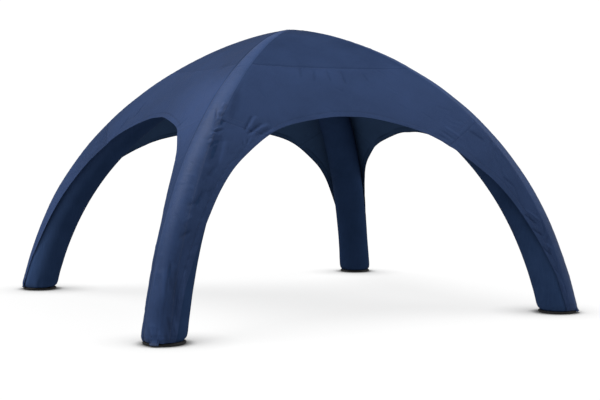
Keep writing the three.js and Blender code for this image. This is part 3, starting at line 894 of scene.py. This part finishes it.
def bunched(count, pull):
    """Numbers from 0 to 1 that lie closer together at both ends."""
    s = np.linspace(0, 1, count)
    return (1 - pull) * s + pull * (0.5 - 0.5 * np.cos(np.pi * s))


def seam_line_of(axis, places):
    """How plainly a ridge seam shows: crisp on the y sides, soft on the x sides, less on legs."""
    return (0.95 if axis == "y" else 0.30) * (1 - 0.85 * smooth(places, 0.66, 0.80))[:, None]


for k, (leg, (columns, tone, fall)) in enumerate(RIDGES.items()):
    places = even_places(CROWN_START, foot_place, RIDGE_ROWS)
    x, y = contact(leg, "x", places), contact(leg, "y", places)
    first, last = y["turn"] * y["seam"], x["turn"] * x["seam"]
    share = bunched(columns, 0.55)
    angle = first[:, None] + (last - first)[:, None] * share
    frames = [part[:, None, :] for part in x["frames"]]
    grid = on_beam(frames, angle, x["radius"][:, None] + 0 * angle)
    # Painted shade: the strip darkens towards the foot, and on the leg towards its x seam.
    shade = (tone - FOOT_DARKER * smooth(places, 0.80, 1.0))[:, None]
    shade = shade - fall * smooth(places, 0.62, 0.76)[:, None] * smooth(share, 0.35, 1.0)
    seams = {"left": (0.0022, seam_line_of("y", places)),
             "right": (0.0030, seam_line_of("x", places))}
    sewn_sheet("ridge_band_" + leg, grid, seams, {"bottom": 1.0}, ridge_cloth, 70, 100 + k,
               slant=1.25, shade=shade)
print("ridge strips:", {n: round(s["cut"][0], 2) for n, s in sheets.items()})

# %% [markdown]
# Four crown panels close the roof between the strips. Their rows follow the arches from the crown
# point down to the crown seam, where the side panels are sewn on. Both use the same columns along that
# seam, so the two cloths meet point for point.

# %% Crown panels and side panels
SHOULDER_COLUMNS, HEM_COLUMNS, SAMPLES = 38, 161, 400
CROWN_ROWS = 36
PANEL_ROWS = {"front": 96, "right": 46, "back": 46, "left": 70}
CROWN_BUNCHED, PANEL_BUNCHED = 1.5, 1.35  # rows lie closer together towards the lower edge
HEM_FADE = 9  # columns over which a hem begins at the shoulder seam
CROWN_SHADE = {  # painted shade: at the crown point and at the crown seam
    "front": (-1.15, -0.30), "right": (-1.0, -0.30), "back": (-0.7, -0.2), "left": (-1.3, -0.30)}
CROWN_LINE = {"front": 0.42, "right": 0.30, "back": 0.30, "left": 0.08}
SIDE_SHADE = {  # painted light and shade: at the first leg and at the second
    "front": (-0.05, 0.25), "right": (0.0, 0.0), "back": (-0.10, -0.10), "left": (0.10, 1.8)}


def panel_foot(side):
    """Lower edge of a side panel: shoulder seam, hem, shoulder seam."""
    hem = hem_edge(side, HEM_CORNER * (2 * bunched(HEM_COLUMNS, 0.35) - 1))
    s = np.linspace(0, 1, SHOULDER_COLUMNS)[:-1, None]
    left = np.array([SHOULDER_SEAM, 0.0]) * (1 - s) + hem[0] * s
    right = np.array([SHOULDER_SEAM, 2.0]) * (1 - s) + hem[-1] * s
    return np.concatenate([left, hem, right[::-1]])


for k, (side, (axis, *_)) in enumerate(SIDES.items()):
    foot = panel_foot(side)
    top = 0.5 * foot[:, 1] + np.linspace(0, 1, len(foot))
    s = 1 - (1 - np.linspace(0, 1, CROWN_ROWS)) ** CROWN_BUNCHED
    places = np.interp(s, np.linspace(0, 1, SAMPLES), even_places(CROWN_START, CROWN_SEAM, SAMPLES))
    down = places[:, None]
    grid = side_point(side, down + 0 * top, top + 0 * down)
    at_point, at_seam = CROWN_SHADE[side]
    ridge_seam = (0.0016, seam_line_of(axis, places))
    seams = {"left": ridge_seam, "right": ridge_seam, "bottom": (0.0022, CROWN_LINE[side])}
    sewn_sheet("crown_cloth_" + side, grid, seams, {}, cover_cloth, 16, 200 + k,
               shade=(at_point + (at_seam - at_point) * s)[:, None])

    s = (1 - (1 - np.linspace(0, 1, PANEL_ROWS[side])) ** PANEL_BUNCHED)[:, None]
    places = (CROWN_SEAM + s * (SHOULDER_SEAM - CROWN_SEAM))[:, 0]
    grid = side_point(side, CROWN_SEAM + s * (foot[:, 0] - CROWN_SEAM), top + s * (foot[:, 1] - top))
    column = np.arange(len(foot))
    start, end = SHOULDER_COLUMNS - 1, len(foot) - SHOULDER_COLUMNS
    hemmed = smooth(column, start, start + HEM_FADE) * smooth(column, end, end - HEM_FADE)
    first_leg, second_leg = SIDE_SHADE[side]
    share = smooth(column / len(foot), 0.45, 0.90) * smooth(s, 0.0, 0.6)
    ridge_seam = (0.0018, seam_line_of(axis, places))
    seams = {"left": ridge_seam, "right": ridge_seam, "top": (0.0034, CROWN_LINE[side]),
             "bottom": (0.0030, 0.35)}
    sewn_sheet("side_cloth_" + side, grid, seams, {"bottom": hemmed}, cover_cloth, 34, 300 + k,
               shade=first_leg + (second_leg - first_leg) * share)
print("crown and side panels:", {n: round(s["cut"][0], 2) for n, s in sheets.items() if "cloth" in n})

# %% [markdown]
# A leg panel carries the cover on from the shoulder seam to the foot, between the ridge seam and the
# hem. The hem bends round the leg as it falls, so the panel narrows from a hand's breadth of free
# cloth to a strip that lies on the leg. At the shoulder seam it has the same columns as the side
# panel, so no slit opens there. Slanted wrinkles show how it is pulled down.

# %% Leg panels
LEG_LINES, LEG_COLUMNS = 168, SHOULDER_COLUMNS
EVEN_LINES = 12  # lines over which the columns go from even to bunched
LEG_SHADE = {  # painted light and shade: at the shoulder seam, lower down, and the lines it takes to get there
    ("front_left", "front"): (0.25, -0.40, 50), ("front_right", "front"): (0.05, -0.15, 50),
    ("front_left", "left"): (1.50, 0.10, 50), ("back_left", "left"): (-0.35, 2.30, 110)}
line = np.arange(LEG_LINES)[:, None]
even = np.linspace(0, 1, LEG_COLUMNS)
across = even + (bunched(LEG_COLUMNS, 0.5) - even) * smooth(line, 0, EVEN_LINES)
for k, side in enumerate(SIDES):
    for which, leg in enumerate(SIDES[side][1:]):
        turn, start = (1, 2.0) if which else (-1, 0.0)
        hem = hem_edge(side, turn * np.linspace(HEM_CORNER, len(HEM) - 1, SAMPLES))
        ridge = even_places(SHOULDER_SEAM, foot_place, LEG_LINES)
        s = (ridge - SHOULDER_SEAM) / (foot_place - SHOULDER_SEAM)
        low = hem[0, 0] + s * (foot_place - hem[0, 0])
        run = np.interp(low, np.maximum.accumulate(hem[:, 0]), hem[:, 1])
        grid = side_point(side, ridge[:, None] + across * (low - ridge)[:, None],
                          start + across * (run - start)[:, None])
        at_seam, lower, fade = LEG_SHADE.get((leg, side), (0.0, 0.0, 1))
        seams = {"left": (0.0020, seam_line_of(SIDES[side][0], ridge)), "top": (0.0030, 0.35)}
        hems = {"right": smooth(line, 0, HEM_FADE), "bottom": 1.0}
        sewn_sheet(f"leg_cloth_{leg}_{side}", grid, seams, hems, cover_cloth, 52,
                   400 + 10 * k + which, slant=turn * 0.7,
                   shade=at_seam + (lower - at_seam) * smooth(line, 0, fade))
print("leg panels:", {n: round(s["cut"][0], 2) for n, s in sheets.items() if n.startswith("leg")})

# %% [markdown]
# Two things on the tent repeat a simple form along a line, so they are made with Geometry Nodes: the
# beams and the stitches. A tree is put together in code and run once on a piece, and the result is
# kept as a plain mesh, so that nothing is left to compute later.

# %% Geometry Nodes in code
def new_tree(name, inputs):
    tree = bpy.data.node_groups.new(name, "GeometryNodeTree")
    for key, kind in {"Geometry": "Geometry", **inputs}.items():
        tree.interface.new_socket(key, in_out="INPUT", socket_type="NodeSocket" + kind)
    tree.interface.new_socket("Geometry", in_out="OUTPUT", socket_type="NodeSocketGeometry")
    return tree, node_in(tree, "NodeGroupInput"), node_in(tree, "NodeGroupOutput")


def end_tree(tree, made, finish, result):
    """Turns what was made into real geometry with a finish and hands it out."""
    plain = node_in(tree, "GeometryNodeRealizeInstances", {"Geometry": made})
    worn = node_in(tree, "GeometryNodeSetMaterial",
                   {"Geometry": plain.outputs["Geometry"], "Material": finish})
    tree.links.new(worn.outputs["Geometry"], result.inputs["Geometry"])


def made_plain(piece, tree, values):
    """Runs a node tree on a piece and keeps the result as a plain mesh."""
    modifier = piece.modifiers.new(tree.name, "NODES")
    modifier.node_group = tree
    for socket in tree.interface.items_tree:
        if socket.in_out == "INPUT" and socket.name in values:
            modifier[socket.identifier] = values[socket.name]
    bpy.context.view_layer.update()
    graph = bpy.context.evaluated_depsgraph_get()
    mesh = bpy.data.meshes.new_from_object(piece.evaluated_get(graph))
    mesh.name = piece.name
    piece.modifiers.clear()
    piece.data = mesh
    return mesh


print("a tree is run once and made plain")

# %% [markdown]
# The air beams are tubes that follow the arch, so a tree can sweep them: a line of points becomes a
# curve, each point carries its own radius for the tucked end, and a round profile runs along it. A
# slow noise makes the sleeve a little uneven, as inflated cloth is.

# %% Beam sweep
def beam_tree():
    inputs = {"Sides": "Int", "Unevenness": "Float", "Sleeve": "Material"}
    tree, given, result = new_tree("beam_sweep", inputs)
    path = node_in(tree, "GeometryNodeMeshToCurve", {"Mesh": given.outputs["Geometry"]})
    width = node_in(tree, "GeometryNodeInputNamedAttribute", {"Name": "ring_radius"},
                    data_type="FLOAT")
    ring = node_in(tree, "GeometryNodeCurvePrimitiveCircle",
                   {"Resolution": given.outputs["Sides"], "Radius": 1.0})
    tube = node_in(tree, "GeometryNodeCurveToMesh",
                   {"Curve": path.outputs["Curve"], "Profile Curve": ring.outputs["Curve"],
                    "Scale": width.outputs["Attribute"], "Fill Caps": True})
    noise = node_in(tree, "ShaderNodeTexNoise", {"Scale": 2.4, "Detail": 1.0})
    centred = math_node(tree, "SUBTRACT", noise.outputs["Fac"], 0.5)
    amount = math_node(tree, "MULTIPLY", centred, given.outputs["Unevenness"])
    out = node_in(tree, "GeometryNodeInputNormal")
    push = node_in(tree, "ShaderNodeVectorMath", {0: out.outputs[0], "Scale": amount},
                   operation="SCALE")
    moved = node_in(tree, "GeometryNodeSetPosition",
                    {"Geometry": tube.outputs["Mesh"], "Offset": push.outputs[0]})
    end_tree(tree, moved.outputs["Geometry"], given.outputs["Sleeve"], result)
    return tree


def line_object(name, lines, radius=None):
    """Open lines of points as a mesh of edges."""
    points, edges = [], []
    for line in lines:
        first = len(points)
        points.extend(line.tolist())
        edges.extend((i, i + 1) for i in range(first, first + len(line) - 1))
    mesh = bpy.data.meshes.new(name)
    mesh.from_pydata(points, edges, [])
    if radius is not None:
        set_values(mesh, "ring_radius", radius)
    return new_object(name, mesh)


sweep = beam_tree()
print("beam sweep:", len(sweep.nodes), "nodes")

# %% [markdown]
# A swept tube needs three corrections. Near the ground its rings are turned upright, as the leg's own
# directions are. It is cut on the two planes in which the four beams meet under the crown, and its
# foot is drawn in with pleats.

# %% Correcting a tube
BEAM_RINGS, BEAM_SIDES = 190, 72
CUT_GAP = 0.0002
PLEAT_ZONE, PLEAT_DEPTH, PLEAT_PITCH = 0.30, 0.0055, 0.03


def coordinates(mesh):
    flat = np.empty(3 * len(mesh.vertices))
    mesh.vertices.foreach_get("co", flat)
    return flat.reshape(-1, 3)


def stand_rings_upright(mesh, leg, places):
    """Turns each ring of a swept tube from the path's direction to the leg's, which ends upright."""
    rings = coordinates(mesh).reshape(len(places), BEAM_SIDES, 3)
    point, _, side, crest = [part[:, None, :] for part in arch_frame(leg, places)]
    swept = unit(np.gradient(point, axis=0))
    side_was = unit(side - swept * dot(side, swept))
    crest_was = np.cross(swept, side_was)
    crest_was = np.where(dot(crest_was, crest) < 0, -crest_was, crest_was)
    away = rings - point
    rings = point + side * dot(away, side_was) + crest * dot(away, crest_was)
    mesh.vertices.foreach_set("co", rings.ravel())


def cut_at_crown(work, sx, sy):
    middle = (CROWN_LEAN + sx * CUT_GAP, sy * CUT_GAP, 0)
    for normal in (Vector((-sx, 0, 0)), Vector((0, -sy, 0))):
        parts = work.verts[:] + work.edges[:] + work.faces[:]
        cut = bmesh.ops.bisect_plane(work, geom=parts, plane_co=middle, plane_no=normal,
                                     clear_outer=True)
        rim = [e for e in cut["geom_cut"] if isinstance(e, bmesh.types.BMEdge)]
        bmesh.ops.contextual_create(work, geom=rim)


def pleat_foot(work, leg, seed):
    for v in work.verts:
        if v.co.z < PLEAT_ZONE:
            way = np.array(v.co) - arch_point(leg, arch_place(max(v.co.z, 0.02)))
            x = np.array([(math.atan2(way[1], way[0]) + 4) * 0.2])
            drawn = PLEAT_DEPTH * float(smooth(v.co.z, 0.26, 0.05)) * ripple(x, PLEAT_PITCH, seed)[0]
            far_out = math.hypot(way[0], way[1])
            if far_out > 0.05:
                v.co.x += way[0] / far_out * drawn
                v.co.y += way[1] / far_out * drawn


print("a tube has", BEAM_RINGS, "rings of", BEAM_SIDES, "points")

# %% [markdown]
# Now the four beams are swept, corrected and toned. Light and shade are painted on the sleeves: a
# sleeve is painted lighter where it stands in the open, and the far left one also where the left lamp
# meets it.

# %% Air beams
SLEEVE_RADIUS = BEAM_RADIUS - 0.003
UNEVENNESS, BEAM_SHARP = 0.006, 40
SLEEVE_SHADE = {  # painted light and shade: under the cover and in the open
    "front_left": (0.0, 0.07), "front_right": (0.25, 0.82),
    "back_right": (-0.5, -0.5), "back_left": (-0.3, 0.2)}
LIT_SIDE = Vector((*LAMPS["left_lamp"][0][:2], 0)).normalized()
SLEEVE_LIT = {"back_left": 2.2}
sleeve = {"Sides": BEAM_SIDES, "Unevenness": UNEVENNESS, "Sleeve": sleeve_cloth}
beams = {}
for k, (leg, (sx, sy)) in enumerate(LEGS.items()):
    places = even_places(PAST_CROWN, float(arch_place(LEG_END + 0.001)), BEAM_RINGS)
    radius = SLEEVE_RADIUS * tucked(places)
    beam = line_object("beam_sleeve_" + leg, [arch_point(leg, places)], radius)
    mesh = made_plain(beam, sweep, sleeve)
    stand_rings_upright(mesh, leg, places)
    work = bmesh.new()
    work.from_mesh(mesh)
    cut_at_crown(work, sx, sy)
    pleat_foot(work, leg, 70 + k)
    bmesh.ops.recalc_face_normals(work, faces=work.faces[:])
    work.to_mesh(mesh)
    work.free()
    shade_smooth(mesh, BEAM_SHARP)
    # Painted light and shade: lighter in the open than under the cover, and, with SLEEVE_LIT, on the
    # side that faces the left lamp.
    under_cover, in_the_open = SLEEVE_SHADE[leg]
    shade = under_cover + (in_the_open - under_cover) * smooth(coordinates(mesh)[:, 2], 1.5, 0.2)
    facing = np.array([v.normal.dot(LIT_SIDE) for v in mesh.vertices])
    set_values(mesh, "shade", shade + SLEEVE_LIT.get(leg, 0.0) * smooth(facing, -0.45, 0.25))
    beams[leg] = beam
print("air beams:", {leg: len(b.data.polygons) for leg, b in beams.items()}, "faces")

# %% [markdown]
# At each foot the ridge strip ends in a short strap that lies against the leg and the edge of the
# sole. It is a small sheet of its own, bent by a table of heights and distances. Its end is folded
# over, so it is thicker there.

# %% Foot straps
STRAP_HALF_WIDTH, STRAP_LINES, STRAP_COLUMNS = 0.042, 46, 19
STRAP_ROWS = np.array([  # height, distance from the leg's line, thickness
    (0.098, 0.2225, 0.003), (0.080, 0.2207, 0.003), (0.062, 0.2180, 0.007), (0.046, 0.2155, 0.017),
    (0.034, 0.2170, 0.019), (0.018, 0.2250, 0.019)])
# STRAP_SHADE paints the strap darker, as the ridge strips are painted darker at the foot.
STRAP_WAVE, STRAP_PITCH, STRAP_SHADE = 0.0016, 0.035, -0.6
STRAP_SEAM, STRAP_SEAM_WIDTH = 0.010, 0.004
straps = {}
for k, leg in enumerate(LEGS):
    name = "foot_strap_" + leg
    rows = curve_through(STRAP_ROWS, np.linspace(0, len(STRAP_ROWS) - 1, STRAP_LINES))
    frames = [part[:, None, :] for part in arch_frame(leg, arch_place(rows[:, 0]))]
    radius = rows[:, 1:2]
    angle = STRAP_HALF_WIDTH / radius * np.linspace(1, -1, STRAP_COLUMNS)
    grid = on_beam(frames, angle, radius + 0 * angle)
    far, normal = edge_distances(grid), grid_normals(grid)
    wave = STRAP_WAVE * ripple(far["top"] + far["left"] * 0.3, STRAP_PITCH, 80 + k)
    fold = wave * smooth(far["top"], 0.02, 0.12)
    rim = np.minimum(np.minimum(far["left"], far["right"]), far["bottom"])
    seam_line = bell(rim - STRAP_SEAM, STRAP_SEAM_WIDTH)
    face = grid + normal * fold[..., None]
    straps[leg] = shell_object(name, face, grid_normals(face), far, fold, seam_line, seam_line,
                               ridge_cloth, rows[:, None, 2:], STRAP_SHADE)
    sheets[name] = {"piece": straps[leg], "cut": [face_area(grid), *cut_size(grid, far)]}
print("foot straps: %.0f x %.0f mm" % tuple(1000 * x for x in sheets[name]["cut"][1:]))

# %% [markdown]
# The soles are flat black pads that carry the legs. A pad is a turned profile: a flat underside, a
# rounded edge with fine upright ribs, and a flat top on which the leg stands.

# %% Soles
SOLE_PROFILE = [  # radius, height, depth of the ribs
    (0.0, 0.0, 0), (0.184, 0.0, 0), (0.195, 0.0015, 0), (0.201, 0.005, 0.3), (0.204, 0.010, 1),
    (0.2045, 0.015, 1), (0.204, 0.020, 1), (0.201, 0.0245, 0.3), (0.195, 0.0275, 0),
    (0.186, 0.0295, 0), (0.160, 0.030, 0), (0.0, 0.030, 0)]
SOLE_SIDES, SOLE_RIBS, RIB_DEPTH = 216, 72, 0.0012
SOLE_CENTRE_Z = 0.040
turn = np.linspace(0, 2 * np.pi, SOLE_SIDES, endpoint=False)
soles = {}
for leg in LEGS:
    centre = arch_point(leg, arch_place(SOLE_CENTRE_Z))
    rings, faces = [], []
    for radius, z, ribs in SOLE_PROFILE:
        r = radius - ribs * RIB_DEPTH * (0.5 - 0.5 * np.cos(turn * SOLE_RIBS))
        x, y = centre[0] + r * np.cos(turn), centre[1] + r * np.sin(turn)
        ring = np.stack([x, y, z + 0 * turn], -1)
        rings.append(ring[:1] if radius == 0 else ring)
    first = np.cumsum([0] + [len(ring) for ring in rings]).tolist()
    for i in range(len(rings) - 1):
        low, high = first[i], first[i + 1]
        for a in range(SOLE_SIDES):
            b = (a + 1) % SOLE_SIDES
            if len(rings[i]) == 1:
                faces.append((low, high + b, high + a))
            elif len(rings[i + 1]) == 1:
                faces.append((low + a, low + b, high))
            else:
                faces.append((low + a, low + b, high + b, high + a))
    mesh = bpy.data.meshes.new("foot_pad_" + leg)
    mesh.from_pydata(np.concatenate(rings).tolist(), [], faces)
    mesh.materials.append(sole_rubber)
    shade_smooth(mesh, SHARP_DEGREES)
    soles[leg] = new_object("foot_pad_" + leg, mesh)
print("soles:", len(soles), "pads of", len(faces), "faces")

# %% [markdown]
# Stitches repeat thousands of times along every seam and hem, so Geometry Nodes lays them: each sewing
# line is cut into even steps, and a slim bead of thread is set on every step, turned along the line.
# The lines are read from the finished sheets at a fixed distance from their edges, so that they lie
# in the folds as real sewing does.

# %% Stitching
STITCH = {"Pitch": 0.012, "Length": 0.0085, "Width": 0.0022, "Thread": thread}
SEAM_STITCH, BEAD_POINTS = 0.013, 10


def stitch_tree():
    inputs = {"Pitch": "Float", "Length": "Float", "Width": "Float", "Thread": "Material"}
    tree, given, result = new_tree("stitch_row", inputs)
    length, width = given.outputs["Length"], given.outputs["Width"]
    path = node_in(tree, "GeometryNodeMeshToCurve", {"Mesh": given.outputs["Geometry"]})
    steps = node_in(tree, "GeometryNodeResampleCurve",
                    {"Curve": path.outputs["Curve"], "Length": given.outputs["Pitch"]}, mode="LENGTH")
    bead = node_in(tree, "GeometryNodeMeshUVSphere", {"Segments": 4, "Rings": 3, "Radius": 0.5})
    way = node_in(tree, "GeometryNodeInputTangent")
    turned = node_in(tree, "FunctionNodeAlignRotationToVector", {"Vector": way.outputs[0]}, axis="X")
    size = node_in(tree, "ShaderNodeCombineXYZ", {"X": length, "Y": width, "Z": width})
    set_on = node_in(tree, "GeometryNodeInstanceOnPoints",
                     {"Points": steps.outputs["Curve"], "Instance": bead.outputs["Mesh"],
                      "Rotation": turned.outputs["Rotation"], "Scale": size.outputs[0]})
    end_tree(tree, set_on.outputs["Instances"], given.outputs["Thread"], result)
    return tree


def line_from_edge(name, edge, away):
    """Points of a sheet's outer face at a fixed distance from one of its edges."""
    face, far = sheets[name]["face"], sheets[name]["far"][edge]
    if edge in ("top", "bottom"):
        face, far = face.swapaxes(0, 1), far.T
    if edge in ("right", "bottom"):
        face, far = face[:, ::-1], far[:, ::-1]
    wide = [(p, f) for p, f in zip(face, far) if f[-1] > 2.2 * away]
    return np.array([[np.interp(away, f, p[:, axis]) for axis in range(3)] for p, f in wide])


def lines_of(start, edges, away):
    lines = [line_from_edge(n, e, away) for n in sheets if n.startswith(start) for e in edges]
    return [line for line in lines if len(line) > 2]


SEWING = {
    "ridge_stitching": lines_of("ridge_band", ("left", "right"), SEAM_STITCH),
    "hem_stitching": (lines_of("side_cloth", ("bottom",), HEM_WIDTH)
                      + lines_of("leg_cloth", ("right",), HEM_WIDTH)),
    "cross_stitching": (lines_of("side_cloth", ("top",), SEAM_STITCH)
                        + lines_of("leg_cloth", ("top",), SEAM_STITCH))}
stitching = stitch_tree()
threads = {}
for name, lines in SEWING.items():
    threads[name] = line_object(name, lines)
    mesh = made_plain(threads[name], stitching, STITCH)
    shade_smooth(mesh)
    print(name, len(lines), "lines,", len(mesh.vertices) // BEAD_POINTS, "stitches")

# %% [markdown]
# Last, each piece is tied to the frame: it rides on the tent's one body, and the plain solids that
# the pieces stand for are hidden. A cut is measured on the smooth surface, before any crease.

# %% Tie the pieces to the frame
def tie(piece, slot, *nodes):
    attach(piece, "root")
    if nodes:
        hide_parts(*nodes)


def tie_sheet(name, slot, node):
    piece = sheets[name]["piece"]
    tie(piece, slot, node)


for leg in LEGS:
    tie(beams[leg], "beam_cloth", "air_beam_" + leg)
    tie(soles[leg], "sole_pad", "foot_sole_" + leg)
    tie_sheet("foot_strap_" + leg, "ridge_cloth", "foot_tab_" + leg)
    tie_sheet("ridge_band_" + leg, "ridge_cloth", "ridge_strip_" + leg)
for side, (_, *legs) in SIDES.items():
    for start, node in (("crown_cloth_", "crown_panel_"), ("side_cloth_", "side_panel_")):
        tie_sheet(start + side, "cover_cloth", node + side)
    for leg in legs:
        tie_sheet(f"leg_cloth_{leg}_{side}", "cover_cloth", f"leg_panel_{leg}_{side}")
for row in threads.values():
    tie(row, "ridge_cloth")

pieces = [s["piece"] for s in sheets.values()] + [*beams.values(), *soles.values(), *threads.values()]
counts = {p.name: sum(len(f.vertices) - 2 for f in p.data.polygons) for p in pieces}
print(len(pieces), "pieces,", sum(counts.values()), "triangles, most in one:", max(counts.values()))
